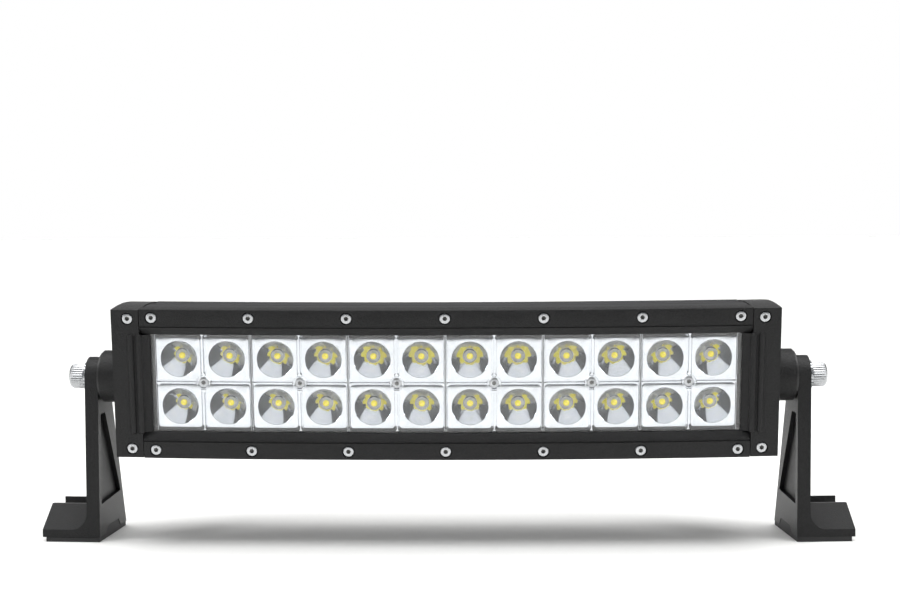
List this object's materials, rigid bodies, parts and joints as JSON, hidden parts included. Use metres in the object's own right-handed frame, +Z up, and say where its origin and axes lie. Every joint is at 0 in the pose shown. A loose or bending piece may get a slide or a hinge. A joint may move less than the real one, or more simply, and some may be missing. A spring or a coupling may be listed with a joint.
{
  "type": "led light bar",
  "caption": "Curved double-row LED light bar: finned aluminium body with screwed bezel, metallised reflectors behind a clear lens, and two swivelling foot brackets.",
  "frame": {"origin": "midway between the centres of the two foot holes, on the underside of the rubber foot pads", "axes": "+X along the bar to the right seen from the lit side, +Y to the back so that the light shines to -Y, +Z up from the mounting surface"},
  "size_m": [0.437, 0.1025, 0.1297],
  "materials": {
    "black_anodised_aluminium": "black anodised extrusion with a fine satin grain",
    "black_powder_coat": "fine-textured satin black powder coat on die-cast and extruded aluminium",
    "black_silicone": "moulded black silicone",
    "clear_polycarbonate": "clear hard-coated polycarbonate sheet",
    "vacuum_metallised_plastic": "bright vacuum-metallised moulding",
    "white_solder_mask": "white solder mask on an aluminium board",
    "led_ceramic": "white ceramic package",
    "yellow_phosphor": "yellow phosphor layer",
    "clear_silicone": "clear silicone dome",
    "green_circuit_board": "green solder mask",
    "ferrite": "sintered ferrite",
    "capacitor_can": "sleeved aluminium can",
    "black_epoxy": "moulded epoxy",
    "natural_nylon": "natural nylon",
    "wire_insulation": "PVC wire insulation",
    "brass": "turned brass",
    "black_nylon": "moulded black nylon",
    "black_rubber": "moulded black rubber",
    "stainless_steel": "bright A2 stainless steel"
  },
  "bodies": {
    "light": {"heat_sink": "black_anodised_aluminium", "bezel_rail_top": "black_powder_coat", "bezel_rail_bottom": "black_powder_coat", "end_bezel_left": "black_powder_coat", "end_bezel_right": "black_powder_coat", "end_cap_left": "black_powder_coat", "end_cap_right": "black_powder_coat", "end_gasket_left": "black_silicone", "end_gasket_right": "black_silicone", "lens_cover": "clear_polycarbonate", "lens_gasket": "black_silicone", "reflector_1": "vacuum_metallised_plastic", "reflector_2": "vacuum_metallised_plastic", "reflector_3": "vacuum_metallised_plastic", "reflector_4": "vacuum_metallised_plastic", "reflector_5": "vacuum_metallised_plastic", "reflector_6": "vacuum_metallised_plastic", "led_board": "white_solder_mask", "led_packages": "led_ceramic", "led_chips": "yellow_phosphor", "led_domes": "clear_silicone", "driver_board": "green_circuit_board", "driver_inductors": "ferrite", "driver_capacitors": "capacitor_can", "driver_chips": "black_epoxy", "driver_spacers": "natural_nylon", "driver_screws": "stainless_steel", "supply_leads": "wire_insulation", "rail_screws_top": "stainless_steel", "rail_screws_bottom": "stainless_steel", "corner_screws": "stainless_steel", "reflector_screws": "stainless_steel", "cap_screws_left": "stainless_steel", "cap_screws_right": "stainless_steel", "threaded_insert_left": "brass", "threaded_insert_right": "brass", "pivot_bolt_left": "stainless_steel", "pivot_bolt_right": "stainless_steel", "lock_washer_left": "stainless_steel", "lock_washer_right": "stainless_steel", "friction_washer_left": "black_nylon", "friction_washer_right": "black_nylon", "gland_body": "black_nylon", "gland_seal": "black_silicone", "gland_nut": "black_nylon", "pressure_vent": "black_nylon"},
    "left_bracket": {"bracket_left": "black_powder_coat", "foot_pad_left": "black_rubber"},
    "right_bracket": {"bracket_right": "black_powder_coat", "foot_pad_right": "black_rubber"}
  },
  "joints": [
    {"name": "left_pivot", "type": "hinge", "parent": "light", "child": "left_bracket", "pos_m": [-0.17107, -0.02191, 0.089], "axis": [-0.9976, 0.0693, 0], "continuous": true},
    {"name": "right_pivot", "type": "hinge", "parent": "light", "child": "right_bracket", "pos_m": [0.17107, -0.02191, 0.089], "axis": [0.9976, 0.0693, 0], "continuous": true}
  ]
}
